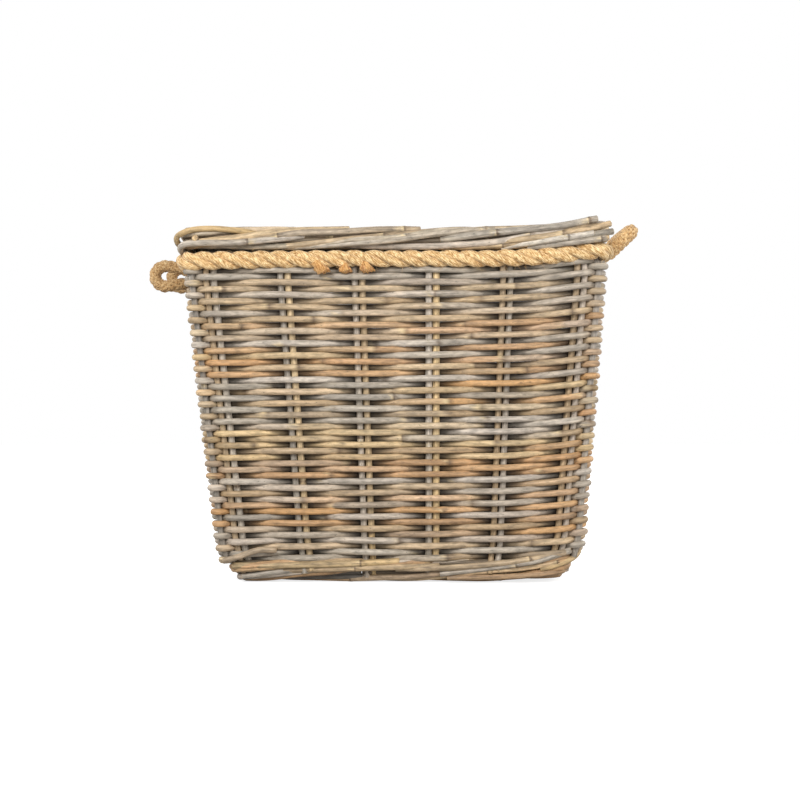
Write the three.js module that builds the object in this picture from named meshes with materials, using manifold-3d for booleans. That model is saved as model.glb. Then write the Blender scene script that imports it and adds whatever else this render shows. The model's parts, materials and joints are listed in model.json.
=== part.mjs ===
// Rectangular rattan planter: paired stakes and four corner posts, woven over and under by two
// canes that chase each other round, with a rolled cane rim and foot, a rope hoop lashed under the
// rim and two twine-bound rope handles that swing on it.
// Millimetres. +X runs along the long side, -Y is the front, +Z is up, and Z = 0 is the floor.
import * as THREE from "three";
import { mergeVertices } from "three/addons/utils/BufferGeometryUtils.js";
import Module from "manifold-3d";

const wasm = await Module();
wasm.setup();

// Driving dimensions
const FIT = 0.3; // air between pieces that touch
const LENGTH_OVER_DEPTH = 84; // half-length of the wall less its half-depth, at every height
const CORNER_GAP = 23.6; // from a corner post to the nearest stake pair
const FRONT_PAIRS = 6;
const SIDE_PAIRS = 4;

// Half-length of the stake line at the four heights where it bends
const FOOT = { z: 34, half: 236 };
const KNEE = { z: 60, half: 241.6 };
const SHOULDER = { z: 416, half: 271.8 };
const RIM = { z: 446.7, half: 265.6 };

const STAKE_RADIUS = 3.4;
const PAIR_SPREAD = 10.4; // between the two legs of a stake pair
const POST_RADIUS = 4.2;
const POST_TUCK = 7; // the post tops lean in by this much, so that the rope clears them

const ROPE_Z = 435;
const ROPE_HALF_HEIGHT = 12;
const ROPE_HALF_DEPTH = 10.5;
const ROPE_CORNER = 20;

const WEAVE_ROWS = 47;
const WEAVE_BASE_Z = 38.6; // centre of the lowest row where it starts
const ROW_GAP = 0.4;
const TURNS_PER_CANE = 4;
const CANE_END_GAP = 1.1; // from the end of a cane to the bend where the next one starts

const RIM_ROLL = { canes: 6, radius: 4.3, halfHeight: 11.9, halfDepth: 9.2, twists: 3, corner: 28 };
const RIM_ROLL_OUTSET = 12; // from the stake line out to the middle of the roll
const FOOT_ROLL = { canes: 4, radius: 4.4, halfHeight: 14, halfDepth: 8.6, twists: 3, corner: 24 };
const FOOT_ROLL_INSET = 14; // from the stake ends in to the middle of the foot roll
const FOOT_LEAN = 0.6; // the foot roll leans out by this much for each millimetre up
const FLOOR_CUT = 0.5; // how much of the foot roll is worn flat where it stands

const FRAME_RADIUS = 5;
const FRAME_CORNER = 16;
const FLOOR_BARS = 5;
const BAR_RADIUS = 3.5;
const MAT_THICKNESS = 4;

const HANDLE_RADIUS = 10;
const HANDLE_REACH_Y = 76; // from the middle of the end wall to each leg of a handle
const HANDLE_CORNER = 18;
const LASHING_RADIUS = 13.4;
const LASHING_WIDTH = 21;

// The handles seen from the front, as they leave the rope: straight, round an arc, straight again.
// Lengths start at the middle of the rope, and headings are in degrees up from straight out.
const LEFT_HANDLE = {
  start: { out: 9, up: -3 },
  heading: 8,
  sweep: -198,
  straight: 30.2,
  bend: 14.3,
  tail: 25,
};
const RIGHT_HANDLE = {
  start: { out: 9, up: 4 },
  heading: 30,
  sweep: 14,
  straight: 4,
  bend: 40,
  tail: 43,
};

// The basket is drawn by hand: its foot stands to the right of its rim by FOOT_SHIFT, and its
// right-hand end rises by END_RISE.
const FOOT_SHIFT = 8;
const END_RISE = 10;
const RISE_FROM_X = 110;
const RISE_TO_X = 258;

const CANE_COLOURS = ["#b3a795", "#c3ab84", "#a99f92", "#bf9b6e", "#b8ab98", "#c9b286"];
const STAKE_COLOURS = ["#a39b90", "#bfa57b"];
const ROPE_COLOUR = "#d9b67c";
const TWINE_COLOUR = "#c39a63";

// Sizes that follow
const CLIMB = climbPerTurn();
const CANE_RADIUS = (CLIMB / 2 - ROW_GAP) / 2;
const ROPE_LEAN = leanAt(ROPE_Z);
const ROPE_OUTSET =
  STAKE_RADIUS * Math.hypot(1, ROPE_LEAN) +
  FIT +
  Math.hypot(ROPE_HALF_DEPTH, ROPE_HALF_HEIGHT * ROPE_LEAN);
const FOOT_ROLL_Z = FOOT_ROLL.halfHeight + FOOT_ROLL.radius * Math.SQRT1_2 - FLOOR_CUT;
const RIM_ROLL_Z = ROPE_Z + ROPE_HALF_HEIGHT + FIT + RIM_ROLL.radius + RIM_ROLL.halfHeight;
const ROPE_HALF = halfLength(ROPE_Z) + ROPE_OUTSET;
const FOOT_ROLL_HALF = FOOT.half - FOOT_ROLL_INSET;

const UP = new THREE.Vector3(0, 0, 1);
const planter = new THREE.Group();

// The weave fills the wall between its base and the lashings.
function climbPerTurn() {
  const underLashing = ROPE_Z - LASHING_RADIUS - FIT;
  const space = underLashing - WEAVE_BASE_Z + ROW_GAP / 2;
  return (2 * space) / (WEAVE_ROWS + 0.6);
}

// Half-length of the stake line at a height, straight between the heights where it bends
function halfLength(z) {
  const bends = [FOOT, KNEE, SHOULDER, RIM];
  const above = Math.max(1, bends.findIndex((bend) => bend.z >= z));
  const top = z > RIM.z ? RIM : bends[above];
  const low = z > RIM.z ? SHOULDER : bends[above - 1];
  return low.half + ((top.half - low.half) * (z - low.z)) / (top.z - low.z);
}

const halfDepth = (z) => halfLength(z) - LENGTH_OVER_DEPTH;

// How far the stake line leans out for each millimetre up
function leanAt(z) {
  return (halfLength(z + 1) - halfLength(z - 1)) / 2;
}

// How far right of the rope a height stands
function shift(z) {
  return FOOT_SHIFT * (1 - z / ROPE_Z);
}

function rise(x) {
  const share = THREE.MathUtils.clamp((x - RISE_FROM_X) / (RISE_TO_X - RISE_FROM_X), 0, 1);
  return END_RISE * share * share;
}

// The four walls in order round the basket, seen from above: where each runs and faces
const WALLS = [
  { name: "front", pairs: FRONT_PAIRS, along: [1, 0], out: [0, -1] },
  { name: "right", pairs: SIDE_PAIRS, along: [0, 1], out: [1, 0] },
  { name: "back", pairs: FRONT_PAIRS, along: [-1, 0], out: [0, 1] },
  { name: "left", pairs: SIDE_PAIRS, along: [0, -1], out: [-1, 0] },
];

function onWall(wall, along, out) {
  return new THREE.Vector2(
    wall.along[0] * along + wall.out[0] * out,
    wall.along[1] * along + wall.out[1] * out,
  );
}

function wallRun(wall, z) {
  return wall.along[0] ? halfLength(z) : halfDepth(z);
}

function wallOffset(wall, z) {
  return wall.along[0] ? halfDepth(z) : halfLength(z);
}

function pairPlace(wall, index, z) {
  const run = wallRun(wall, z) - CORNER_GAP;
  return -run + (2 * run * index) / (wall.pairs - 1);
}

// Each station is a corner post or a stake pair, and gives the rods that a cane bends round there.
const STATIONS = WALLS.flatMap((wall) => {
  const post = {
    radius: POST_RADIUS,
    lean: Math.SQRT2,
    rods: (z) => [onWall(wall, -wallRun(wall, z), wallOffset(wall, z))],
  };
  const pairs = Array.from({ length: wall.pairs }, (_, index) => ({
    radius: STAKE_RADIUS,
    lean: 1,
    rods: (z) =>
      [-0.5, 0.5].map((side) =>
        onWall(wall, pairPlace(wall, index, z) + side * PAIR_SPREAD, wallOffset(wall, z)),
      ),
  }));
  return [post, ...pairs];
});

// Share of a turn at which each station lies, measured half-way up the wall
const SHARES = (() => {
  const middle = (KNEE.z + SHOULDER.z) / 2;
  const centres = STATIONS.map((station) => {
    const rods = station.rods(middle);
    return rods[0].clone().add(rods[rods.length - 1]).multiplyScalar(0.5);
  });
  const steps = centres.map((c, i) => c.distanceTo(centres[(i + 1) % centres.length]));
  const round = steps.reduce((sum, step) => sum + step, 0);
  let done = 0;
  return steps.map((step) => {
    const share = done / round;
    done += step;
    return share;
  });
})();

// A closed solid from rings of equal count: sides between neighbours, and flat ends unless closed
function solidFromRings(rings, closed) {
  const sides = rings[0].length;
  const corners = rings.flat();
  const faces = [];
  const spans = closed ? rings.length : rings.length - 1;
  for (let ring = 0; ring < spans; ring++) {
    const next = (ring + 1) % rings.length;
    for (let side = 0; side < sides; side++) {
      const a = ring * sides + side;
      const b = ring * sides + ((side + 1) % sides);
      const c = next * sides + side;
      const d = next * sides + ((side + 1) % sides);
      faces.push([a, b, d], [a, d, c]);
    }
  }
  if (!closed) {
    const last = (rings.length - 1) * sides;
    for (let side = 1; side < sides - 1; side++) {
      faces.push([0, side + 1, side], [last, last + side, last + side + 1]);
    }
  }
  const volume = faces.reduce((sum, [a, b, c]) => {
    return sum + corners[a].dot(corners[b].clone().cross(corners[c]));
  }, 0);
  const order = volume < 0 ? faces.map(([a, b, c]) => [a, c, b]) : faces;
  return new THREE.BufferGeometry().setFromPoints(corners).setIndex(order.flat());
}

// A rod along a route: one ring at each point, mitred where the route bends.
// up is the direction that one axis of the section keeps to, and turn rotates the section.
function rod(route, radius, { sides = 4, turn = 0, up = UP, closed = false, deep = radius } = {}) {
  const count = route.length;
  const rings = route.map((point, i) => {
    const before = route[closed ? (i + count - 1) % count : Math.max(i - 1, 0)];
    const after = route[closed ? (i + 1) % count : Math.min(i + 1, count - 1)];
    const into = point.clone().sub(before).normalize();
    const onward = after.clone().sub(point).normalize();
    if (!closed && i === 0) into.copy(onward);
    if (!closed && i === count - 1) onward.copy(into);
    const tangent = into.clone().add(onward).normalize();
    const across = tangent.clone().cross(up).normalize();
    const upright = across.clone().cross(tangent);
    const bend = onward.clone().sub(into);
    const stretch = 1 / Math.max(tangent.dot(into), 0.3) - 1;
    if (bend.lengthSq() > 1e-12) bend.normalize();
    return Array.from({ length: sides }, (_, side) => {
      const angle = turn + (2 * Math.PI * side) / sides;
      const offset = across.clone().multiplyScalar(deep * Math.cos(angle));
      offset.addScaledVector(upright, radius * Math.sin(angle));
      offset.addScaledVector(bend, stretch * offset.dot(bend));
      return point.clone().add(offset);
    });
  });
  return solidFromRings(rings, closed);
}

function toManifold(geometry) {
  const bare = geometry.clone();
  bare.deleteAttribute("normal");
  bare.deleteAttribute("uv");
  const merged = mergeVertices(bare, 1e-4);
  return new wasm.Manifold(
    new wasm.Mesh({
      numProp: 3,
      vertProperties: merged.attributes.position.array,
      triVerts: new Uint32Array(merged.index.array),
    }),
  );
}

function fromManifold(solid) {
  const mesh = solid.getMesh();
  return new THREE.BufferGeometry()
    .setAttribute("position", new THREE.BufferAttribute(mesh.vertProperties, 3))
    .setIndex(new THREE.BufferAttribute(mesh.triVerts, 1));
}

// Draws the foot to the right and the right-hand end up
function drawn(geometry) {
  const place = geometry.attributes.position;
  for (let i = 0; i < place.count; i++) {
    const x = place.getX(i);
    const z = place.getZ(i);
    place.setXYZ(i, x + shift(z), place.getY(i), z + rise(x));
  }
  return geometry;
}

function add(name, geometry, colour, roughness = 0.75) {
  const material = new THREE.MeshStandardMaterial({ color: colour, roughness, metalness: 0 });
  const mesh = new THREE.Mesh(geometry, material);
  mesh.name = name;
  planter.add(mesh);
  return mesh;
}

// The straight line that touches two rods, each kept on the left (side 1) or right (side -1)
function tangentLine(from, to) {
  const span = to.centre.clone().sub(from.centre);
  const lean = Math.asin((to.side * to.reach - from.side * from.reach) / span.length());
  const heading = Math.atan2(span.y, span.x) - lean;
  const left = new THREE.Vector2(-Math.sin(heading), Math.cos(heading));
  return { left, along: new THREE.Vector2(Math.cos(heading), Math.sin(heading)) };
}

// Where two touching lines meet, one past the first rod of a station and one past its last
function meeting(first, lineIn, last, lineOut) {
  const a = first.centre.dot(lineIn.left) - first.side * first.reach;
  const b = last.centre.dot(lineOut.left) - last.side * last.reach;
  const cross = lineIn.left.cross(lineOut.left);
  return new THREE.Vector2(
    (a * lineOut.left.y - b * lineIn.left.y) / cross,
    (b * lineIn.left.x - a * lineOut.left.x) / cross,
  );
}

const RIGHT_WALL = FRONT_PAIRS + 1; // number of the station that starts the right-hand wall
const OUTSIDE_BENDS = 2; // corners in a cane where it goes round the outside of a post

// The bends of a cane at one station: one at a pair or behind a post, several round a post
function bendsAt(rods, lineIn, lineOut) {
  const first = rods[0];
  const last = rods[rods.length - 1];
  if (first.side < 0 || rods.length > 1) return [meeting(first, lineIn, last, lineOut)];
  const start = Math.atan2(lineIn.along.y, lineIn.along.x);
  const end = Math.atan2(lineOut.along.y, lineOut.along.x);
  const sweep = THREE.MathUtils.euclideanModulo(end - start, 2 * Math.PI);
  const lines = Array.from({ length: OUTSIDE_BENDS + 1 }, (_, i) => {
    const heading = start + (sweep * i) / OUTSIDE_BENDS;
    return { left: new THREE.Vector2(-Math.sin(heading), Math.cos(heading)) };
  });
  return lines.slice(1).map((line, i) => meeting(first, lines[i], first, line));
}

// A cane woven from one station to another, counted on round the basket. It passes outside the
// stations whose number has the same parity as phase, and climbs steadily from startZ.
function wovenRoute(from, to, phase, heightAt) {
  const all = STATIONS.length;
  const stops = [];
  for (let step = from - 1; step <= to + 1; step++) {
    const station = STATIONS[((step % all) + all) % all];
    const z = heightAt(step);
    const side = (((step + phase) % 2) + 2) % 2 === 0 ? 1 : -1;
    const reach = station.radius * Math.hypot(1, station.lean * leanAt(z)) + CANE_RADIUS + FIT;
    stops.push({ z, rods: station.rods(z).map((centre) => ({ centre, side, reach })) });
  }
  const lines = stops.slice(1).map((stop, i) => {
    const rods = stops[i].rods;
    return tangentLine(rods[rods.length - 1], stop.rods[0]);
  });
  const route = [];
  for (let i = 1; i < stops.length - 1; i++) {
    const bends = bendsAt(stops[i].rods, lines[i - 1], lines[i]);
    if (i === 1) bends[0].addScaledVector(lines[i].along, CANE_END_GAP);
    if (i === stops.length - 2) bends[0].addScaledVector(lines[i - 1].along, -CANE_END_GAP);
    bends.forEach((bend) => route.push(new THREE.Vector3(bend.x, bend.y, stops[i].z)));
  }
  return route;
}

function turnsTo(step) {
  const all = STATIONS.length;
  return Math.floor(step / all) + SHARES[((step % all) + all) % all];
}

// The two chasing canes start on opposite end walls, about half a turn and one row apart. Every
// length of cane ends behind a stake pair, where the bend is gentle.
function addWeave() {
  const all = STATIONS.length;
  const turns = WEAVE_ROWS / 2;
  const starts = [
    { letter: "a", start: RIGHT_WALL + 2, phase: 0, drop: 0 },
    { letter: "b", start: RIGHT_WALL + 3 + all / 2, phase: 1, drop: CLIMB / 2 },
  ];
  const datum = turnsTo(starts[0].start);
  for (const { letter, start, phase, drop } of starts) {
    const heightAt = (step) => WEAVE_BASE_Z - drop + CLIMB * (turnsTo(step) - datum);
    for (let done = 0, number = 1; done < turns; done += TURNS_PER_CANE, number++) {
      const here = Math.min(TURNS_PER_CANE, turns - done);
      const from = start + done * all;
      const route = wovenRoute(from, from + here * all, phase, heightAt);
      const colour = CANE_COLOURS[(number + (letter === "a" ? 0 : 3)) % CANE_COLOURS.length];
      add(`weaver_${letter}_${number}`, drawn(rod(route, CANE_RADIUS)), colour);
    }
  }
}

// A stake pair is one cane doubled over: two legs, with the bend up under the rim roll.
function addStakes() {
  const bendRadius = PAIR_SPREAD / 2;
  const legHeights = [FOOT.z, KNEE.z, SHOULDER.z, RIM.z - bendRadius];
  for (const wall of WALLS) {
    for (let index = 0; index < wall.pairs; index++) {
      const at = (z, side) => {
        const along = pairPlace(wall, index, z) + side;
        const plan = onWall(wall, along, wallOffset(wall, z));
        return new THREE.Vector3(plan.x, plan.y, z);
      };
      const up = legHeights.map((z) => at(z, -bendRadius));
      const down = legHeights.map((z) => at(z, bendRadius)).reverse();
      const crown = [-1, 1].map((side) =>
        at(RIM.z - STAKE_RADIUS, side * bendRadius * Math.tan(Math.PI / 8)),
      );
      const normal = new THREE.Vector3(wall.out[0], wall.out[1], 0);
      const geometry = rod([...up, ...crown, ...down], STAKE_RADIUS, { up: normal });
      const name = `stake_pair_${wall.name}_${index + 1}`;
      add(name, drawn(geometry), STAKE_COLOURS[index % STAKE_COLOURS.length]);
    }
  }
}

function addPosts() {
  const names = ["front_left", "front_right", "back_right", "back_left"];
  WALLS.forEach((wall, i) => {
    const route = [FOOT, KNEE, SHOULDER, RIM].map(({ z }) => {
      const tuck = z > SHOULDER.z ? POST_TUCK : 0;
      const plan = onWall(wall, -wallRun(wall, z) + tuck, wallOffset(wall, z) - tuck);
      return new THREE.Vector3(plan.x, plan.y, z);
    });
    const face = new THREE.Vector3(wall.out[0], wall.out[1], 0);
    const geometry = rod(route, POST_RADIUS, { sides: 6, up: face });
    add(`corner_post_${names[i]}`, drawn(geometry), STAKE_COLOURS[0]);
  });
}

// Stations round a rounded rectangle: a place, the way out, and the distance along
function hoopStations(half, corner, longSteps, shortSteps, cornerSteps) {
  const depth = half - LENGTH_OVER_DEPTH;
  const stations = [];
  let travelled = 0;
  WALLS.forEach((wall) => {
    const run = (wall.along[0] ? half : depth) - corner;
    const offset = wall.along[0] ? depth : half;
    const steps = wall.along[0] ? longSteps : shortSteps;
    const out = new THREE.Vector2(...wall.out);
    const along = new THREE.Vector2(...wall.along);
    for (let i = 0; i < steps; i++) {
      const t = (2 * run * i) / steps;
      stations.push({ plan: onWall(wall, t - run, offset), out, distance: travelled + t });
    }
    travelled += 2 * run;
    const centre = onWall(wall, run, offset - corner);
    for (let i = 0; i < cornerSteps; i++) {
      const angle = (Math.PI / 2) * (i / cornerSteps);
      const way = out.clone().multiplyScalar(Math.cos(angle));
      way.addScaledVector(along, Math.sin(angle));
      const plan = centre.clone().addScaledVector(way, corner);
      stations.push({ plan, out: way, distance: travelled + angle * corner });
    }
    travelled += (Math.PI / 2) * corner;
  });
  return { stations, round: travelled };
}

// One cane of a roll: it winds round an oval, up across the outside and down across the inside.
function rolledRoute(roll, half, z, lean, cane) {
  const { stations, round } = hoopStations(half, roll.corner, 8, 5, 2);
  return stations.map(({ plan, out, distance }) => {
    const angle = 2 * Math.PI * ((roll.twists * distance) / round + cane / roll.canes);
    const height = -roll.halfHeight * Math.cos(angle);
    const reach = roll.halfDepth * Math.sin(angle) + lean * height;
    const place = plan.clone().addScaledVector(out, reach);
    return new THREE.Vector3(place.x, place.y, z + height);
  });
}

function addRolls() {
  const rimHalf = RIM.half + RIM_ROLL_OUTSET;
  for (let cane = 0; cane < RIM_ROLL.canes; cane++) {
    const route = rolledRoute(RIM_ROLL, rimHalf, RIM_ROLL_Z, 0, cane);
    const geometry = rod(route, RIM_ROLL.radius, { closed: true });
    add(`rim_cane_${cane + 1}`, drawn(geometry), CANE_COLOURS[cane % CANE_COLOURS.length]);
  }
  const size = 4 * FOOT_ROLL_HALF;
  const floor = new THREE.BoxGeometry(size, size, size).translate(0, 0, -size / 2);
  for (let cane = 0; cane < FOOT_ROLL.canes; cane++) {
    const route = rolledRoute(FOOT_ROLL, FOOT_ROLL_HALF, FOOT_ROLL_Z, FOOT_LEAN, cane);
    const square = rod(route, FOOT_ROLL.radius, { closed: true, turn: Math.PI / 4 });
    const cut = fromManifold(toManifold(square).subtract(toManifold(floor)));
    add(`foot_cane_${cane + 1}`, drawn(cut), CANE_COLOURS[(cane + 2) % CANE_COLOURS.length]);
  }
}

// The floor: a bent hoop inside the foot roll, bars across it and a mat on the bars
function addFloor() {
  const toFlatSide = FRAME_RADIUS * Math.cos(Math.PI / 6);
  const apart = FOOT_ROLL.radius + toFlatSide;
  const frameHalf = FOOT_ROLL_HALF - FOOT_ROLL.halfDepth - apart * Math.hypot(1, FOOT_LEAN);
  const hoop = hoopStations(frameHalf, FRAME_CORNER, 4, 1, 3).stations;
  const route = hoop.map(({ plan }) => new THREE.Vector3(plan.x, plan.y, FOOT_ROLL_Z));
  add("floor_frame", drawn(rod(route, FRAME_RADIUS, { sides: 6, closed: true })), STAKE_COLOURS[0]);

  const barReach = frameHalf - LENGTH_OVER_DEPTH - FRAME_RADIUS - FIT;
  const barSpan = frameHalf - FRAME_RADIUS;
  const barZ = FOOT_ROLL_Z + FRAME_RADIUS - BAR_RADIUS;
  for (let bar = 0; bar < FLOOR_BARS; bar++) {
    const x = -barSpan + (2 * barSpan * (bar + 0.5)) / FLOOR_BARS;
    const ends = [-1, 1].map((side) => new THREE.Vector3(x, side * barReach, barZ));
    const geometry = rod(ends, BAR_RADIUS, { sides: 6 }).translate(shift(barZ), 0, rise(x));
    add(`floor_bar_${bar + 1}`, geometry, STAKE_COLOURS[1]);
  }

  const matZ = FOOT_ROLL_Z + FRAME_RADIUS + 2 * FIT + MAT_THICKNESS / 2;
  const matDepth = frameHalf - LENGTH_OVER_DEPTH;
  const mat = new THREE.BoxGeometry(2 * frameHalf, 2 * matDepth, MAT_THICKNESS, 16, 1, 1);
  add("floor_mat", drawn(mat.translate(0, 0, matZ)), CANE_COLOURS[1]);
}

function addRope() {
  const hoop = hoopStations(ROPE_HALF, ROPE_CORNER, 6, 3, 3).stations;
  const route = hoop.map(({ plan }) => new THREE.Vector3(plan.x, plan.y, ROPE_Z));
  const section = { sides: 8, closed: true, deep: ROPE_HALF_DEPTH };
  add("rim_rope", drawn(rod(route, ROPE_HALF_HEIGHT, section)), ROPE_COLOUR, 0.9);
}

// Each end of a handle: which way is out, and the twine lashing round the rope at each leg
const ENDS = [
  { name: "left", out: -1 },
  { name: "right", out: 1 },
];

function addLashings() {
  const outline = new THREE.Shape().absarc(0, 0, LASHING_RADIUS, 0, 2 * Math.PI);
  const bore = new THREE.Path();
  bore.absellipse(0, 0, ROPE_HALF_DEPTH + FIT, ROPE_HALF_HEIGHT + FIT, 0, 2 * Math.PI, true);
  outline.holes.push(bore);
  const settings = { depth: LASHING_WIDTH, bevelEnabled: false, curveSegments: 8 };
  for (const { name, out } of ENDS) {
    for (const [where, side] of [["front", -1], ["back", 1]]) {
      const sleeve = new THREE.ExtrudeGeometry(outline, settings);
      sleeve.translate(0, 0, -LASHING_WIDTH / 2).rotateX(Math.PI / 2);
      const x = out * ROPE_HALF;
      sleeve.translate(x, side * HANDLE_REACH_Y, ROPE_Z + rise(x));
      add(`lashing_${name}_${where}`, sleeve, TWINE_COLOUR, 0.95);
    }
  }
}

// The centre line of a handle in the plane that its legs lie in, by the distance along it
function handleProfile(shape) {
  const { straight, bend, tail } = shape;
  const start = new THREE.Vector2(shape.start.out, shape.start.up);
  const heading = THREE.MathUtils.degToRad(shape.heading);
  const turn = Math.sign(shape.sweep);
  const arcLength = bend * THREE.MathUtils.degToRad(Math.abs(shape.sweep));
  const way = (angle) => new THREE.Vector2(Math.cos(angle), Math.sin(angle));
  const bendAt = start.clone().addScaledVector(way(heading), straight);
  const hub = bendAt.clone().addScaledVector(way(heading + (turn * Math.PI) / 2), bend);
  return {
    length: straight + arcLength + tail,
    at(distance) {
      if (distance < straight) return start.clone().addScaledVector(way(heading), distance);
      const past = Math.min(distance - straight, arcLength);
      const angle = heading + (turn * past) / bend;
      const point = hub.clone().addScaledVector(way(angle - (turn * Math.PI) / 2), bend);
      return point.addScaledVector(way(angle), Math.max(distance - straight - arcLength, 0));
    },
  };
}

// The loop is a flat U whose sheet is bent along the profile: out along one leg, across the grip
// and back along the other.
function handleRoute(profile, out, legSteps, cornerSteps) {
  const straightLeg = profile.length - HANDLE_CORNER;
  const half = [];
  for (let i = 0; i <= legSteps; i++) {
    half.push([(straightLeg * i) / legSteps, HANDLE_REACH_Y]);
  }
  for (let i = 1; i <= cornerSteps; i++) {
    const angle = (Math.PI / 2) * (i / cornerSteps);
    half.push([
      straightLeg + HANDLE_CORNER * Math.sin(angle),
      HANDLE_REACH_Y - HANDLE_CORNER * (1 - Math.cos(angle)),
    ]);
  }
  const sheet = [...half, ...half.map(([along, y]) => [along, -y]).reverse()];
  return sheet.map(([along, y]) => {
    const point = profile.at(along);
    return new THREE.Vector3(out * point.x, y, point.y);
  });
}

// Rings carried along a route that turns in space, with no twist from one to the next
function softRod(route, radius, sides) {
  const tangents = route.map((point, i) => {
    const before = route[Math.max(i - 1, 0)];
    const after = route[Math.min(i + 1, route.length - 1)];
    return after.clone().sub(before).normalize();
  });
  const normal = new THREE.Vector3(0, 1, 0).cross(tangents[0]).normalize();
  const rings = route.map((point, i) => {
    normal.addScaledVector(tangents[i], -normal.dot(tangents[i])).normalize();
    const binormal = tangents[i].clone().cross(normal);
    return Array.from({ length: sides }, (_, side) => {
      const angle = (2 * Math.PI * side) / sides;
      const corner = point.clone().addScaledVector(normal, radius * Math.cos(angle));
      return corner.addScaledVector(binormal, radius * Math.sin(angle));
    });
  });
  return solidFromRings(rings, false);
}

function addHandles() {
  const seatRadius = LASHING_RADIUS + FIT;
  const seatSides = 48;
  const seat = new THREE.CylinderGeometry(seatRadius, seatRadius, 4 * HANDLE_REACH_Y, seatSides);
  const shapes = [
    { profile: handleProfile(LEFT_HANDLE), legSteps: 10 },
    { profile: handleProfile(RIGHT_HANDLE), legSteps: 4 },
  ];
  ENDS.forEach(({ name, out }, i) => {
    const route = handleRoute(shapes[i].profile, out, shapes[i].legSteps, 3);
    const loop = softRod(route, HANDLE_RADIUS, 8);
    const fitted = fromManifold(toManifold(loop).subtract(toManifold(seat)));
    const mesh = add(`handle_${name}`, fitted, TWINE_COLOUR, 0.95);
    mesh.position.set(out * ROPE_HALF, 0, ROPE_Z + rise(out * ROPE_HALF));
  });
}

addFloor();
addStakes();
addPosts();
addWeave();
addRolls();
addRope();
addLashings();
addHandles();

export default planter;
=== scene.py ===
# The looks of a rectangular rattan planter, built round its imported frame.
# Sizes at the top are millimetres. MM turns them to metres.
import bisect
import json
import math
import random

import bmesh
import bpy
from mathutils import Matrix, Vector, noise


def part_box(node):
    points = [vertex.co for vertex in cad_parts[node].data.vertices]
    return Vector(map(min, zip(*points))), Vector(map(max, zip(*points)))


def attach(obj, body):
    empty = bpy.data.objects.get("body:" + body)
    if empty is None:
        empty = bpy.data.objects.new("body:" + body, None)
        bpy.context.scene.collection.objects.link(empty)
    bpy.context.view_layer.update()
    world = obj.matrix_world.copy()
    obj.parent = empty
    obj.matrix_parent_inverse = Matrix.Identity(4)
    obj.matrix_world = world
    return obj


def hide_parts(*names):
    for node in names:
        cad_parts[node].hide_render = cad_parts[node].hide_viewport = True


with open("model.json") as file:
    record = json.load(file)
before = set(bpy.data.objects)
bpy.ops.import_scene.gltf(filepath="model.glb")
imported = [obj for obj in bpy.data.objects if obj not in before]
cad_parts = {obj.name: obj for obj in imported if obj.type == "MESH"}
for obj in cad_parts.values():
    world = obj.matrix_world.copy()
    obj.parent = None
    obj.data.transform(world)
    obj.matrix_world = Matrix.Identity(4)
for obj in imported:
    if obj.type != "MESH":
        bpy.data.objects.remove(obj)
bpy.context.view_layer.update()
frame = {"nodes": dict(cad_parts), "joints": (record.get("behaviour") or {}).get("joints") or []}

MM = 0.001
TURN = 2 * math.pi
UP = Vector((0, 0, 1))

# The basket's own sizes, the same as in its solid model
LENGTH_OVER_DEPTH = 84
CORNER_GAP = 23.6
FRONT_PAIRS = 6
SIDE_PAIRS = 4
FOOT = (34, 236)  # height and half-length of the stake line where it bends
KNEE = (60, 241.6)
SHOULDER = (416, 271.8)
RIM = (446.7, 265.6)
PAIR_SPREAD = 9.9
POST_TUCK = 7
WEAVE_ROWS = 47
WEAVE_BASE_Z = 38.6
WEAVE_TOP_Z = 421.5
TURNS_PER_CANE = 4
CANES_PER_LETTER = 6
FOOT_SHIFT = 8  # how far the foot stands to the right of the rope
END_RISE = 10
RISE_FROM_X = 110
RISE_TO_X = 258

# Real sizes of the cane, which touches where the solids keep a small gap
STAKE_RADIUS = 3.9
POST_RADIUS = 4.3
POST_WRAP = 0.55  # half the angle through which a cane lies on a post
CANE_RADIUS = 4.25
CANE_SIDES = 10
CANE_STEP = 6.5  # between the sections drawn along a cane
LONG_STEP = 12  # the same on stakes, posts, bars and hidden courses
STAKE_HEIGHTS = [FOOT[0], 47, KNEE[0], 160, 260, 340, SHOULDER[0]]
PACKED_RADIUS = 4.45  # where the rows cross between two stakes
INSIDE_SWELL = 0.9  # a cane fills the gap between its neighbours where it passes inside a stake
WORN_EDGE = 0.9  # the length over which a cut end is worn, and the share of its thickness left
WORN_TO = 0.72
PIECING = 1.2  # from a cut between two lengths of a weaver to where each is whole
CUT_EVERY = (1500, 2500)
LONGEST_CANE = 2900
ROWS_TOGETHER = 1.7  # how far the rows wander up and down, all of them and each alone
ROWS_APART = 0.6

# Painted shade: a cane's colour darkens with its depth in the wall
PIT_SHADE = (2.015, 1.3175)  # how fast, at the foot and at the top
PIT_SIDES = 0.6  # how far round its sides, seen from outside
PIT_DARKEST = 0.03

ROPE_Z = 435
ROPE_RADIUS = 11.8
ROPE_LAY = 76  # length of one turn of a strand
YARN_TWIST = -TURN / 62  # the yarns turn the other way, once in 62 mm
STRANDS_OUT = 1.155  # how far out three touching strands lie, in strand radii
ROPE_TIGHT = 0.93  # height over width where it is hauled tight
ROPE_SWELL = 0.13  # what it gains where it lies slack, and how far it droops there
ROPE_DROOP = 3
ROPE_CORNER = 20
ROPE_SEAM = 800  # where the drawing of its strands starts, at the middle of a hidden wall
ROPE_HAIRS = 320
TAIL_FIBRES = 260
CUT_FIBRE = (0.84, 0.68, 0.5)  # browner than the rope, which has bleached
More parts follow.
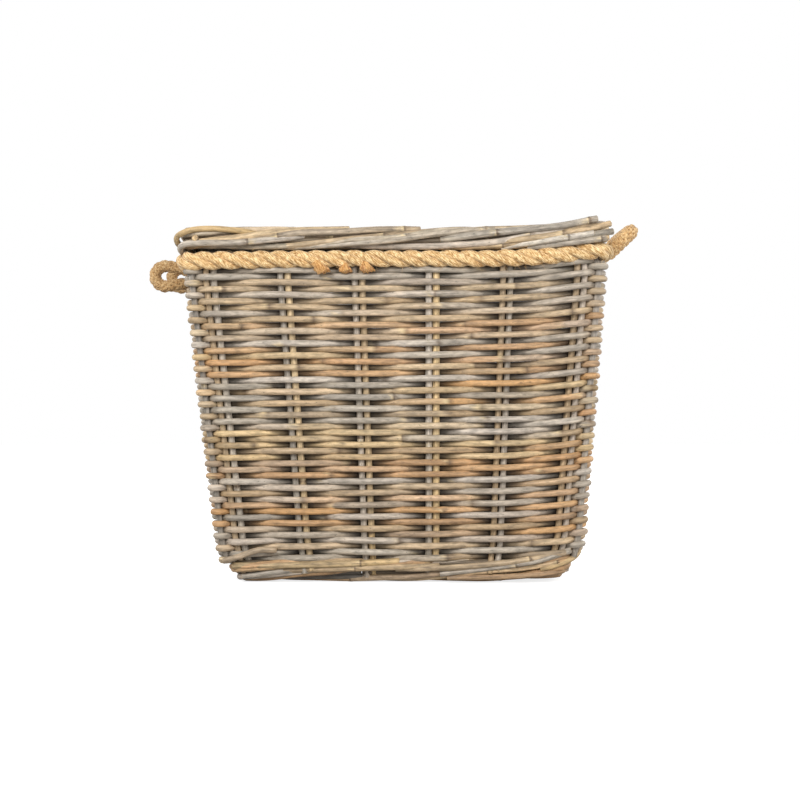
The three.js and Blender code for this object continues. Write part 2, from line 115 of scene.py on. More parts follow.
# The cut ends of its strands: half-width, then x, depth behind the rope's front, z
ROPE_TAILS = [
    (9, [(-111, 9, 434), (-104, 4, 428), (-99, 4, 422), (-96, 6, 418)]),
    (7, [(-72, 14, 432), (-67, 9, 426), (-65, 7, 418)]),
    (8.5, [(-48, 13, 433), (-41, 7, 427), (-36, 6, 419)]),
]
TWINE_RADIUS = 1.25

RIM_ROLL = dict(z=463, out=13, half_height=11.4, half_depth=7.8, corner=22)
FOOT_ROLL = dict(z=17.4, out=-13, half_height=12.3, half_depth=8.0, corner=12, over=75)
FOOT_LEAN = 0.6
CLEAR_OF_HANDLES = 0.3  # how much flatter the rolls are on the end walls, where handles swing

HANDLE_RADIUS = 10
HANDLE_REACH_Y = 76
HANDLE_CORNER = 18
HANDLE_STEP = 2.6
HANDLE_ENDS = 12  # ends of twine in the plait, half of them winding each way
HANDLE_LAY = 52
PLAIT_RADIUS = 2.7  # of one end of the plait
CORE_TINT = (0.6, 0.52, 0.42)  # painted shade: dark, to be seen only as the shaded gaps of the plait
ROOT_LENGTH = 16  # a handle thins towards its roots, to slip into the lashings
ROOT_THINS = 2
# Seen from the front, a handle leaves its pivot at (out, up), runs straight, bends and ends in a
# tail. The heading and sweep are degrees, skew lifts its back leg, thin slims it. A darker tone of
# the twine is painted shade, deepest on the left-hand handle.
LEFT_HANDLE = dict(out=9, up=-3, heading=8, sweep=-198, straight=30.2, bend=14.3, tail=20, skew=9,
                   painted_shade=0.75, thin=1.3)
RIGHT_HANDLE = dict(out=9, up=4, heading=30, sweep=14, straight=4, bend=40, tail=43, skew=0,
                    painted_shade=0.94, thin=-0.6)


def srgb(hex_colour):
    """A colour written as sRGB hex, as linear red, green and blue"""
    parts = [int(hex_colour[i:i + 2], 16) / 255 for i in (1, 3, 5)]
    return [p / 12.92 if p <= 0.04045 else ((p + 0.055) / 1.055) ** 2.4 for p in parts]


def mix(a, b, share):
    return [p + (q - p) * share for p, q in zip(a, b)]


def waver(*place):
    """A value from about -1 to 1 that changes smoothly with three numbers"""
    return noise.noise(Vector(place))


def add_object(name, data):
    thing = bpy.data.objects.new(name, data)
    bpy.context.scene.collection.objects.link(thing)
    return thing


# Camera, light and floor
LAMPS = {  # place, width and watts
    "key lamp": ((-0.8, -2.4, 1.5), 1.2, 70),
    "fill lamp": ((1.5, -2.3, 0.7), 1.8, 36),
    "left lamp": ((-2.5, 0.3, 1.2), 1.6, 34),
    "right lamp": ((2.5, 0.6, 1.0), 1.6, 34),
    "back lamp": ((0.4, 2.5, 1.4), 1.6, 62),
}


def add_camera():
    """Level, at half the height of the picture, where one pixel is 1.32 mm on the front wall"""
    millimetres_per_pixel = 1.32
    front_wall_y = -0.207
    distance = 1.993
    camera = bpy.data.cameras.new("camera")
    camera.sensor_fit = "HORIZONTAL"
    camera.sensor_width = 36
    camera.lens = 36 * distance / (800 * millimetres_per_pixel * MM)
    camera.clip_start = 0.05
    holder = add_object("camera", camera)
    holder.location = (0.0065, front_wall_y - distance, 0.248)
    holder.rotation_euler = (math.pi / 2, 0, 0)
    bpy.context.scene.camera = holder


def add_lamps():
    """Soft square lamps that face the middle of the basket"""
    middle = Vector((0, 0, 0.24))
    for name, (place, width, watts) in LAMPS.items():
        light = bpy.data.lights.new(name, "AREA")
        light.size = width
        light.energy = watts
        lamp = add_object(name, light)
        lamp.location = place
        lamp.rotation_euler = (middle - Vector(place)).to_track_quat("-Z", "Y").to_euler()


def set_inputs(tree, node, inputs):
    """Sets a node's inputs, or links them. A node given as a value stands for its first output."""
    for name, value in inputs.items():
        if isinstance(value, bpy.types.Node):
            value = value.outputs[0]
        if isinstance(value, bpy.types.NodeSocket):
            tree.links.new(value, node.inputs[name])
        else:
            node.inputs[name].default_value = value


def add_node(tree, kind, inputs=None, **settings):
    """Adds a shader node with its settings and inputs. Those of a MapRange are the value, the
    ends of the range that it comes from, and those of the range that it is taken to."""
    node = tree.nodes.new("ShaderNode" + kind)
    for name, value in settings.items():
        setattr(node, name, value)
    set_inputs(tree, node, inputs or {})
    return node


def blank_tree(owner):
    owner.use_nodes = True
    owner.node_tree.nodes.clear()
    return owner.node_tree


def add_room():
    """White to look at and in reflections, and a weak even light on the basket"""
    scene = bpy.context.scene
    scene.view_settings.view_transform = "Standard"
    scene.world = bpy.data.worlds.new("studio")
    tree = blank_tree(scene.world)
    path = add_node(tree, "LightPath")
    shown = path.outputs["Is Camera Ray"]
    for ray in ("Is Glossy Ray", "Is Transmission Ray"):
        shown = add_node(tree, "Math", {0: shown, 1: path.outputs[ray]}, operation="MAXIMUM")
    light, backdrop = [add_node(tree, "Background", {"Color": (1, 1, 1, 1), "Strength": strength})
                       for strength in (0.2, 1)]
    both = add_node(tree, "MixShader", {0: shown, 1: light, 2: backdrop})
    add_node(tree, "OutputWorld", {"Surface": both})


def add_studio_floor():
    """Matt paint has no highlight. It keeps the basket's soft shadow, and a glow that only the
    camera sees takes it to white further out."""
    bm = bmesh.new()
    bmesh.ops.create_grid(bm, x_segments=1, y_segments=1, size=6)
    mesh = bpy.data.meshes.new("floor")
    bm.to_mesh(mesh)
    bm.free()
    material = bpy.data.materials.new("Painted studio floor, matt white")
    tree = blank_tree(material)
    path = add_node(tree, "LightPath")
    place = add_node(tree, "TexCoord")
    away = add_node(tree, "VectorMath", {0: place.outputs["Object"]}, operation="LENGTH")
    lift = add_node(tree, "MapRange", {0: away.outputs["Value"], 1: 0.3, 2: 0.75, 3: 0.78, 4: 1})
    shown = add_node(tree, "Math", {0: path.outputs["Is Camera Ray"], 1: lift},
                     operation="MULTIPLY")
    glow = add_node(tree, "Emission", {"Strength": shown})
    paint = add_node(tree, "BsdfDiffuse", {"Color": (*srgb("#bcbcbc"), 1)})
    add_node(tree, "OutputMaterial", {"Surface": add_node(tree, "AddShader", {0: paint, 1: glow})})
    mesh.materials.append(material)
    add_object("floor", mesh)


# Where the walls, stakes and posts stand
WALLS = [
    dict(name="front", pairs=FRONT_PAIRS, along=Vector((1, 0)), out=Vector((0, -1))),
    dict(name="right", pairs=SIDE_PAIRS, along=Vector((0, 1)), out=Vector((1, 0))),
    dict(name="back", pairs=FRONT_PAIRS, along=Vector((-1, 0)), out=Vector((0, 1))),
    dict(name="left", pairs=SIDE_PAIRS, along=Vector((0, -1)), out=Vector((-1, 0))),
]


def half_length(z):
    """Half-length of the stake line at a height"""
    bends = [FOOT, KNEE, SHOULDER, RIM]
    above = next((i for i, bend in enumerate(bends) if bend[0] >= z), len(bends) - 1)
    (low_z, low), (top_z, top) = bends[max(above, 1) - 1], bends[max(above, 1)]
    return low + (top - low) * (z - low_z) / (top_z - low_z)


def rise(x):
    """How far the right-hand end is drawn up"""
    share = min(max((x - RISE_FROM_X) / (RISE_TO_X - RISE_FROM_X), 0), 1)
    return END_RISE * share * share


def shift(z):
    """How far right of the rope a height stands"""
    return FOOT_SHIFT * (1 - z / ROPE_Z)


def run_and_offset(wall, z):
    """Half the wall's length, and its distance from the middle of the basket"""
    long_way, short_way = half_length(z), half_length(z) - LENGTH_OVER_DEPTH
    return (long_way, short_way) if wall["along"].x else (short_way, long_way)


def on_wall(wall, along, out):
    return wall["along"] * along + wall["out"] * out


def pair_place(wall, index, z):
    run = run_and_offset(wall, z)[0] - CORNER_GAP
    return -run + 2 * run * index / (wall["pairs"] - 1)


STATIONS = [(wall, index) for wall in WALLS for index in range(-1, wall["pairs"])]


def station_rods(station, z):
    """The places of the rods at a station: the post is number -1, the rest are stake pairs"""
    wall, index = station
    run, offset = run_and_offset(wall, z)
    if index < 0:
        return [on_wall(wall, -run, offset)]
    middle = pair_place(wall, index, z)
    return [on_wall(wall, middle + side * PAIR_SPREAD / 2, offset) for side in (-1, 1)]


def shares_of_a_turn():
    """Share of a turn at which each station lies, measured half-way up the wall"""
    middle = (KNEE[0] + SHOULDER[0]) / 2
    centres = [sum(rods, Vector((0, 0))) / len(rods)
               for rods in (station_rods(s, middle) for s in STATIONS)]
    steps = [(c - centres[(i + 1) % len(centres)]).length for i, c in enumerate(centres)]
    return [sum(steps[:i]) / sum(steps) for i in range(len(steps))]


SHARES = shares_of_a_turn()
CLIMB = 2 * (WEAVE_TOP_Z - WEAVE_BASE_Z) / (WEAVE_ROWS + 0.6)  # of one cane in a turn: two rows


def turns_to(step):
    return step // len(STATIONS) + SHARES[step % len(STATIONS)]


# What a length of cane looks like: joints, the colour between them and how thick it is
GREYS = ["#a89e90", "#b6ab9e", "#999083", "#aca193", "#b4a697"]
TANS = ["#b39976", "#bda37e", "#a78d6b", "#b29b7f"]
BROWNS = ["#be905e", "#c59864", "#af8558", "#b78d63"]
STRAWS = ["#c9aa78", "#d1b486", "#bfa06e"]
BLEACHED = ["#bfb099", "#b2a48f"]
CHALKY = ["#c4bbae"]
SLATES = ["#8d857d", "#978f87", "#847d76"]
# What the canes of each of the six lengths are picked from, from the foot up
FAMILIES_UPWARDS = [
    [GREYS, GREYS, TANS, BROWNS, BROWNS, BROWNS],
    [GREYS, GREYS, TANS, TANS, BROWNS, BROWNS],
    [GREYS, GREYS, TANS, TANS, BROWNS, STRAWS],
    [GREYS, GREYS, TANS, STRAWS, STRAWS, BROWNS],
    [GREYS, GREYS, TANS, TANS, STRAWS, BROWNS],
    [GREYS, GREYS, GREYS, TANS, TANS, STRAWS],
]
WEATHER = srgb("#a79b88")
BARE_WOOD = (*srgb("#d8d2c8"), 1)
PITH = srgb("#c4a67a")
JOINT_LINE = srgb("#5d4a36")
SHEATH_SCAR = srgb("#cdb78d")
# Distances from a joint, in millimetres
RING_HALF = 1.1
RING_TAIL = 10
SCAR_LENGTH = 12
SWELL_LENGTH = 5
MARK_STOPS = (-SCAR_LENGTH, -8, -4.5, -1.8, -1, 1, 1.8, 4.5, RING_TAIL)
PLAIN_START = 5  # a cut end has no joint


class Cane:
    """The look of one length of cane by the distance along it, in millimetres"""

    def __init__(self, rng, families, joints=(80, 340), radius=CANE_RADIUS):
        self.rng = rng
        self.families = families
        self.family = rng.choice(families)
        self.radius = radius * rng.uniform(0.95, 1.1)
        self.joints = [0]
        self.colours = [self.pick()]
        self.spacing = joints
        self.seed = rng.uniform(0, 900)

    def pick(self):
        """Mostly the cane's own family of colours, now and then a neighbour's"""
        family = self.family if self.rng.random() < 0.7 else self.rng.choice(self.families)
        light = self.rng.uniform(0.78, 1.1)
        colour = mix(srgb(self.rng.choice(family)), WEATHER, self.rng.uniform(0, 0.4))
        return [channel * light for channel in colour]

    def reach(self, distance):
        """Grows the cane, joint by joint, past a distance"""
        while self.joints[-1] < distance + 40:
            self.joints.append(self.joints[-1] + self.rng.uniform(*self.spacing))
            self.colours.append(mix(self.pick(), self.colours[-1], self.rng.uniform(0, 0.5)))

    def colour(self, distance):
        """The colour changes at each joint, and drifts slowly between them"""
        self.reach(distance)
        i = bisect.bisect_right(self.joints, distance) - 1
        length = self.joints[i + 1] - self.joints[i]
        share = (distance - self.joints[i]) / length
        colour = mix(self.colours[i], self.colours[i + 1], 0.35 * share)
        drift = (1 + 0.16 * waver(distance * 0.011, self.seed, 0)
                 + 0.12 * waver(distance * 0.06, self.seed, 5))
        return [channel * drift for channel in colour]

    def scar(self, distance, around):
        """The mark of a leaf sheath at a joint: a pale torn scar before it, and a dark ring with
        a torn tail after it. Gives the mark's colour and its share at an angle round the cane."""
        i = bisect.bisect_right(self.joints, distance) - 1
        joint, following = self.joints[i], self.joints[i + 1]
        past, ahead = distance - joint, following - distance
        if distance < PLAIN_START:
            return JOINT_LINE, 0
        torn = waver(around * 1.3, joint + self.seed, past * 0.25)
        if min(past, ahead) < RING_HALF:
            return JOINT_LINE, 0.75 + 0.4 * torn
        if past < RING_TAIL:
            return JOINT_LINE, min(max(0, 0.5 + 1.7 * torn), 0.9) * (1 - past / RING_TAIL)
        if ahead < SCAR_LENGTH:
            torn = waver(around * 1.3, following + self.seed, ahead * 0.25)
            fade = (1 - ahead / SCAR_LENGTH) ** 0.5
            return SHEATH_SCAR, min(max(0, 0.2 + 2.6 * torn), 0.85) * fade
        return JOINT_LINE, 0

    def thickness(self, distance):
        """A joint stands a little proud"""
        self.reach(distance)
        if distance <= PLAIN_START:
            return self.radius
        near = min(abs(distance - joint) for joint in self.joints[1:])
        return self.radius * (1 + 0.09 * max(0, 1 - near / SWELL_LENGTH))

    def stops(self, start, end, step):
        """Distances at which to draw a section, closer together at the joints"""
        self.reach(end)
        count = max(2, round((end - start) / step))
        even = [start + (end - start) * i / count for i in range(count + 1)]
        marks = [joint + stop for joint in self.joints[1:] for stop in MARK_STOPS]
        inside = [m for m in marks if start + 1 < m < end - 1]
        return sorted(s for s in even + inside
                      if s in inside or all(abs(s - m) > 0.65 for m in inside))


# Drawing rods
class Route:
    """A line through points in millimetres, read by the distance along it"""

    def __init__(self, points):
        self.points = points
        self.reached = [0]
        for a, b in zip(points, points[1:]):
            self.reached.append(self.reached[-1] + (b - a).length)
        self.length = self.reached[-1]

    def at(self, distance):
        i = min(max(bisect.bisect_right(self.reached, distance) - 1, 0), len(self.points) - 2)
        share = (distance - self.reached[i]) / (self.reached[i + 1] - self.reached[i])
        return self.points[i].lerp(self.points[i + 1], share)


def curve_between(a, b, way_a, way_b, parts, pull=1.0):
    """Points on a smooth bend from a, heading way_a, to b, heading way_b, leaving out b"""
    reach = (b - a).length * pull
    points = []
    for i in range(parts):
        t = i / parts
        points.append(a * (2 * t**3 - 3 * t**2 + 1) + b * (3 * t**2 - 2 * t**3)
                      + way_a * (reach * (t**3 - 2 * t**2 + t)) + way_b * (reach * (t**3 - t**2)))
    return points


def smooth_line(points, step=6):
    """Points close together on a smooth line through a few points"""
    ends = [points[0] * 2 - points[1]] + points + [points[-1] * 2 - points[-2]]
    line = []
    for before, a, b, after in zip(ends, points, points[1:], ends[3:]):
        parts = max(2, round((b - a).length / step))
        line += curve_between(a, b, (b - before).normalized(), (after - a).normalized(), parts)
    return line + [points[-1]]


def carried_axes(points, up=UP):
    """A pair of axes square to the line at each point, carried along it without twist"""
    axes = []
    across = None
    for i, point in enumerate(points):
        ahead = (points[min(i + 1, len(points) - 1)] - points[max(i - 1, 0)]).normalized()
        across = ahead.cross(up) if across is None else across - ahead * across.dot(ahead)
        across.normalize()
        axes.append((across.copy(), ahead.cross(across)))
    return axes


def draw_rod(bm, sections, sides=CANE_SIDES, twist=0.0, yarns=0, cane=None):
    """Rolls a strip into a rod. Each section is a place, a radius, a colour and a distance
    along the rod. A radius may be two, across and upright. twist is how far the fibres turn in
    a millimetre, yarns is how many swell the outside, and a cane given has its joints marked.
    The grain layer holds each point's place in the rod when it lay straight, with a start of
    its own so that no two rods have the same streaks."""
    grain = bm.verts.layers.float_vector["grain"]
    tint = bm.verts.layers.float_color["tint"]
    places = [section[0] for section in sections]
    axes = carried_axes(places)
    count = len(sections)
    own_start = places[0].dot(Vector((13.7, 7.1, 3.3)))
    cane_start = sections[0][3]
    strip = bmesh.ops.create_grid(bm, x_segments=count - 1, y_segments=sides, size=0.5)["verts"]
    rows = [strip[i * count:(i + 1) * count] for i in range(sides + 1)]
    for side, row in enumerate(rows):
        angle = TURN * side / sides
        for vert, (place, radius, colour, distance), (across, upright) in zip(row, sections, axes):
            deep, high = radius if isinstance(radius, tuple) else (radius, radius)
            lay = angle + twist * distance
            swell = 1 + 0.04 * math.cos(yarns * lay) if yarns else 1
            y, z = deep * swell * math.cos(angle), high * swell * math.sin(angle)
            vert.co = (place + across * y + upright * z) * MM
            vert[grain] = ((distance + own_start) * MM, high * math.cos(lay) * MM,
                           high * math.sin(lay) * MM)
            if cane:
                colour = mix(colour, *cane.scar(distance - cane_start, side % sides))
            vert[tint] = (*colour, 1)
    bmesh.ops.weld_verts(bm, targetmap=dict(zip(rows[-1], rows[0])))


def new_rods():
    bm = bmesh.new()
    bm.verts.layers.float_vector.new("grain")
    bm.verts.layers.float_color.new("tint")
    return bm


def finish_piece(bm, name, material, body, nodes=(), lift=True, deep_shade=False):
    """Closes the rods' ends, draws the piece to the basket's lean and sets it on its body.
    A piece that is placed by the solids or by listed points has that lean already and isn't lifted."""
    bmesh.ops.holes_fill(bm, edges=bm.edges, sides=0)
    bmesh.ops.recalc_face_normals(bm, faces=bm.faces)
    # Painted shade, darkening the colour where a cane lies deep in the weave
    if deep_shade:
        paint_deep_shade(bm)
    for vert in bm.verts if lift else ():
        x, z = vert.co.x / MM, vert.co.z / MM
        vert.co.x += shift(z) * MM
        vert.co.z += rise(x) * MM
    for face in bm.faces:
        face.smooth = len(face.verts) == 4
    mesh = bpy.data.meshes.new(name)
    bm.to_mesh(mesh)
    bm.free()
    mesh.materials.append(material)
    piece = add_object(name, mesh)
    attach(piece, body)
    if nodes:
        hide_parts(*nodes)


def paint_deep_shade(bm):
    """Painted shade: a cane's colour darkens where it lies deep between its neighbours, on either
    side, more at the foot of the wall than at its top
    """
    tint = bm.verts.layers.float_color["tint"]
    foot, top = PIT_SHADE
    bm.normal_update()
    for vert in bm.verts:
        place = vert.co / MM
        half = half_length(place.z)
        past_end = abs(place.x) - half
        past_front = abs(place.y) - (half - LENGTH_OVER_DEPTH)
        if past_end > past_front:
            depth, facing = -past_end, vert.normal.x * math.copysign(1, place.x)
        else:
            depth, facing = -past_front, vert.normal.y * math.copysign(1, place.y)
        turned = min(max(facing + PIT_SIDES if depth > 0 else -facing, 0), 1)
        pit = abs(depth) * turned / (STAKE_RADIUS + CANE_RADIUS)
        light = max(1 - (foot + (top - foot) * place.z / WEAVE_TOP_Z) * pit, PIT_DARKEST)
        vert[tint] = (*(channel * light for channel in vert[tint][:3]), 1)


def cane_sections(cane, route, start, end, squeeze=None, step=CANE_STEP):
    """Sections of a cane from start to end of a route, cut square with a worn edge"""
    sections = []
    for stop in [start - WORN_EDGE] + cane.stops(start, end, step) + [end + WORN_EDGE]:
        radius = cane.thickness(stop - start)
        radius = (radius, squeeze(stop, radius) if squeeze else radius)
        if start <= stop <= end:
            sections.append((route.at(stop), radius, cane.colour(stop - start), stop))
        else:
            sections.append((route.at(stop), tuple(r * WORN_TO for r in radius), PITH, stop))
    return sections


def draw_cane(bm, cane, points, step=CANE_STEP, sides=CANE_SIDES, cut=1, marked=True):
    """Draws one whole length of cane along some points"""
    route = Route(points)
    sections = cane_sections(cane, route, cut, route.length - cut, step=step)
    draw_rod(bm, sections, sides=sides, cane=cane if marked else None)


# Materials
def start_material(name):
    material = bpy.data.materials.new(name)
    material.use_nodes = True
    return material, material.node_tree, material.node_tree.nodes["Principled BSDF"]


def fibre_noise(tree, along_mm, across_mm, detail=2.0):
    """Noise drawn out along the fibres. The two sizes are the real length and width of a streak."""
    grain = add_node(tree, "Attribute", attribute_name="grain")
    scale = (1 / (along_mm * MM), 1 / (across_mm * MM), 1 / (across_mm * MM))
    stretched = add_node(tree, "VectorMath", {0: grain.outputs["Vector"], 1: scale},
                         operation="MULTIPLY")
    return add_node(tree, "TexNoise", {"Vector": stretched, "Scale": 1.0, "Detail": detail,
                                       "Roughness": 0.6})


def rattan(name, streak_strength=1.0):
    """Skin-on cane: long streaks where the skin has split, grey where it has weathered away,
    damp stains and dark specks. The streaks are drawn twice as wide as they are, to show."""
    material, tree, shader = start_material(name)
    tint = add_node(tree, "Attribute", attribute_name="tint")
    vessels = fibre_noise(tree, 42, 2.4)
    patches = fibre_noise(tree, 36, 9, detail=3)
    stains = fibre_noise(tree, 12, 4, detail=4)
    specks = fibre_noise(tree, 4.5, 1.8)
    bare = add_node(tree, "MapRange", {0: patches, 1: 0.5, 2: 0.66, 3: 0, 4: 0.45})
    weathered = add_node(tree, "Mix", {0: bare, 6: tint, 7: BARE_WOOD},
                         data_type="RGBA", blend_type="SOFT_LIGHT")
    darkest = 1 - 0.26 * streak_strength
    streaked = add_node(tree, "MapRange", {0: vessels, 1: 0.32, 2: 0.68, 3: darkest, 4: 1.16})
    stained = add_node(tree, "MapRange", {0: stains, 1: 0.42, 2: 0.66, 3: 1.08, 4: 0.64})
    specked = add_node(tree, "MapRange", {0: specks, 1: 0.66, 2: 0.72, 3: 1.0, 4: 0.4})
    level = add_node(tree, "Math", {0: streaked, 1: stained}, operation="MULTIPLY")
    level = add_node(tree, "Math", {0: level, 1: specked}, operation="MULTIPLY")
    colour = add_node(tree, "VectorMath", {0: weathered.outputs[2], 3: level}, operation="SCALE")
    rough = add_node(tree, "MapRange", {0: vessels, 1: 0.35, 2: 0.65, 3: 0.74, 4: 0.52})
    height = add_node(tree, "Math", {0: vessels, 1: specked}, operation="MULTIPLY")
    bump = add_node(tree, "Bump", {"Strength": 0.55, "Distance": 0.0009, "Height": height})
    set_inputs(tree, shader, {"Base Color": colour, "Roughness": rough, "Normal": bump})
    return material


def fibre(name, dark, middle, light, along_mm, across_mm, bump_distance):
    """Loose plant fibre, spun: bright and dark hairs lie along the lay"""
    material, tree, shader = start_material(name)
    hairs = fibre_noise(tree, along_mm, across_mm, detail=3)
    clumps = fibre_noise(tree, along_mm * 1.6, across_mm * 3.2)
    fine = add_node(tree, "Math", {0: hairs, 1: 0.78}, operation="MULTIPLY")
    lie = add_node(tree, "Math", {0: clumps, 1: 0.22, 2: fine}, operation="MULTIPLY_ADD")
    ramp = add_node(tree, "ValToRGB", {"Fac": lie})
    stops = ramp.color_ramp.elements
    stops[0].position, stops[0].color = 0.36, (*srgb(dark), 1)
    stops[1].position, stops[1].color = 0.6, (*srgb(light), 1)
    stops.new(0.47).color = (*srgb(middle), 1)
    tint = add_node(tree, "Attribute", attribute_name="tint")
    colour = add_node(tree, "VectorMath", {0: ramp, 1: tint}, operation="MULTIPLY")
    bump = add_node(tree, "Bump", {"Strength": 0.8, "Distance": bump_distance, "Height": lie})
    set_inputs(tree, shader, {"Base Color": colour, "Roughness": 0.88, "Sheen Weight": 0.15,
                              "Sheen Roughness": 0.5, "Normal": bump})
    return material


# Thin cane kept in its skin and left in the open: dull, grey to honey, satin along its streaks
WEAVER_RATTAN = rattan("Grey rattan, weathered with its skin on")
STAKE_RATTAN = rattan("Rattan stake, weathered")
# Thicker cane has a coarser skin, so its streaks are darker
BORDER_RATTAN = rattan("Thick grey rattan, rough skin", streak_strength=1.5)
# Laid rope: matt and golden, bleached hairs over brown hollows
MANILA = fibre("Manila rope, three strands", "#7a552b", "#be935b", "#efd7a6", 4.2, 0.95, 0.0012)
# Spun finer and wound tight: smoother, with less between light and dark
TWINE = fibre("Sisal twine, tightly bound", "#80603b", "#b9915f", "#e6ca9c", 6, 1.3, 0.0006)


# The weave
def touching_points(station, z, side):
    """Where a cane touches the rods of a station, outside (1) or inside (-1), and its heading"""
    wall, index = station
    rods = station_rods(station, z)
    if index >= 0:
        reach = side * (STAKE_RADIUS + CANE_RADIUS)
        return [(rod + wall["out"] * reach, wall["along"]) for rod in rods]
    before = WALLS[WALLS.index(wall) - 1]
    middle = (wall["out"] + before["out"]).normalized()
    onward = (wall["along"] + before["along"]).normalized()
    reach = side * (POST_RADIUS + 0.9 * CANE_RADIUS)
    if side < 0:
        return [(rods[0] + middle * reach, onward)]
    points = []
    for angle in (-POST_WRAP, 0, POST_WRAP):
        out = middle * math.cos(angle) + onward * math.sin(angle)
        points.append((rods[0] + out * reach, onward * math.cos(angle) - middle * math.sin(angle)))
    return points


def woven_line(first, last, phase, height_at):
    """The middle of a cane from one station to another, with the station and the side of the
    wall at each of its points"""
    knots = []
    for step in range(first - 1, last + 2):
        side = 1 if (step + phase) % 2 == 0 else -1
        for place, way in touching_points(STATIONS[step % len(STATIONS)], height_at(step), side):
            knots.append((step, Vector((*place, height_at(step))), Vector((*way, 0)), side))
    points, steps, sides = [], [], []
    for (step, a, way_a, side), (step_b, b, way_b, side_b) in zip(knots, knots[1:]):
        parts = max(2, round((b - a).length / 5))
        points += curve_between(a, b, way_a, way_b, parts, pull=0.9)
        steps += [step + (step_b - step) * i / parts for i in range(parts)]
        sides += [side + (side_b - side) * i / parts for i in range(parts)]
    return points, steps, sides


def uneven(point, row):
    """The hand of the weaver: rows wander a little together, and a little apart"""
    together = waver(point.x * 0.009, point.y * 0.009, point.z * 0.012)
    apart = waver(point.x * 0.012, point.y * 0.012, row * 3.1)
    return point + UP * (ROWS_TOGETHER * together + ROWS_APART * apart)


def add_weave():
    """Two canes chase each other round. Each is drawn in lengths that start and end at stakes."""
    all_stations = len(STATIONS)
    first_on_right = FRONT_PAIRS + 1
    letters = [("a", first_on_right + 2, 0, 0),
               ("b", first_on_right + 3 + all_stations // 2, 1, CLIMB / 2)]
    datum = turns_to(letters[0][1])
    turns = WEAVE_ROWS / 2 + 0.5  # the last half turn lies under the rope
    for letter, start, phase, drop in letters:
        def height_at(step):
            return WEAVE_BASE_Z - drop + CLIMB * (turns_to(step) - datum)

        for number in range(CANES_PER_LETTER):
            rng = random.Random(f"weaver {letter} {number}")
            first = start + number * TURNS_PER_CANE * all_stations
            here = min(TURNS_PER_CANE, turns - number * TURNS_PER_CANE)
            last = int(first + here * all_stations)
            if number == 0:  # the start lies half a turn back, down in the foot border
                first -= all_stations // 2
            points, steps, sides = woven_line(first, last, phase, height_at)
            points = [uneven(p, round(turns_to(int(s)) * 2 + phase)) for p, s in zip(points, steps)]
            route = Route(points)
            reached = route.reached

            def squeeze(distance, radius):
                """Half the height of the cane: every row fills its place between the stakes, and
                swells where it passes inside one"""
                i = min(max(bisect.bisect_right(reached, distance) - 1, 0), len(sides) - 1)
                height = max(radius, CANE_RADIUS) + INSIDE_SWELL * (sides[i] < 0)
                return PACKED_RADIUS + (height - PACKED_RADIUS) * abs(sides[i])

            to_end = reached[max(i for i, s in enumerate(steps) if s <= last)]
            inside = [d for d, side in zip(reached, sides) if side == -1]
            cuts = [reached[steps.index(first)]]
            while to_end - cuts[-1] > LONGEST_CANE:
                cut = cuts[-1] + rng.uniform(*CUT_EVERY)
                cuts.append(min(inside, key=lambda place: abs(place - cut)))
            cuts.append(to_end)
            bm = new_rods()
            for a, b in zip(cuts, cuts[1:]):
                cane = Cane(rng, FAMILIES_UPWARDS[number])
                sections = cane_sections(cane, route, a + PIECING, b - PIECING, squeeze)
                draw_rod(bm, sections, cane=cane)
            finish_piece(bm, f"woven_cane_{letter}_{number + 1}", WEAVER_RATTAN,
                         "basket", [f"weaver_{letter}_{number + 1}"], deep_shade=True)


# Stakes and posts
LEFT_LEG_GREY = {"front": (False, True, True, True, False, False)}  # the others' all are
STAKES_BEFORE_FOOT = {("front", 1), ("front", 4), ("back", 3)}


def add_stakes():
    """Each pair is one cane doubled over under the rim, with its legs down into the foot"""
    bend = PAIR_SPREAD / 2
    top = RIM[0] - STAKE_RADIUS
    for wall in WALLS:
        for index in range(wall["pairs"]):
            rng = random.Random(f"stake {wall['name']} {index}")

            def at(z, side, out=0):
                along = pair_place(wall, index, z) + side * bend
                plan = on_wall(wall, along, run_and_offset(wall, z)[1] + out)
                return Vector((*plan, z))

            tip, ankle = 10 + rng.uniform(-4, 4), 22
            heights = [tip, ankle, *STAKE_HEIGHTS, top - bend]
            crown = [at(top - bend * (1 - math.sin(a)), -math.cos(a))
                     for a in (0.5, 1.1, math.pi / 2, 2.0, 2.6)]
            left = [at(z, -1) for z in heights]
            right = [at(z, 1) for z in reversed(heights)]
            # The tips stand inside or outside the line, where the foot's rods push them
            stray = rng.uniform(-3, 4) - (0 if wall["along"].x else 8)
            if (wall["name"], index) in STAKES_BEFORE_FOOT:
                stray = 11.5
            left[:2] = [at(tip, -1, stray), at(ankle, -1, stray * 0.8)]
            right[-2:] = [at(ankle, 1, stray * 0.8), at(tip + 4, 1, stray)]
            grey = LEFT_LEG_GREY.get(wall["name"], (True,) * FRONT_PAIRS)[index]
            bm = new_rods()
            for half in (left + crown[:3], crown[2:] + right):
                families = [GREYS] if grey else [TANS, TANS, STRAWS]
                cane = Cane(rng, families, (180, 380), STAKE_RADIUS + 0.4)
                draw_cane(bm, cane, half, step=LONG_STEP, cut=WORN_EDGE)
                grey = not grey
            name = f"{wall['name']}_{index + 1}"
            finish_piece(bm, f"stake_cane_{name}", STAKE_RATTAN, "basket",
                         [f"stake_pair_{name}"])


def add_posts():
    """One at the left-hand end of each wall, tucked in under the rim"""
    names = ["front_left", "front_right", "back_right", "back_left"]
    for wall, name in zip(WALLS, names):
        rng = random.Random(f"post {name}")
        points = []
        for z in (28, *STAKE_HEIGHTS, RIM[0] - 1):
            run, offset = run_and_offset(wall, z)
            tuck = POST_TUCK if z > SHOULDER[0] else 0
            points.append(Vector((*on_wall(wall, tuck - run, offset - tuck), z)))
        bm = new_rods()
        draw_cane(bm, Cane(rng, [SLATES], (160, 300), POST_RADIUS), points, step=LONG_STEP,
                  cut=WORN_EDGE)
        finish_piece(bm, f"post_cane_{name}", STAKE_RATTAN, "basket",
                     [f"corner_post_{name}"])


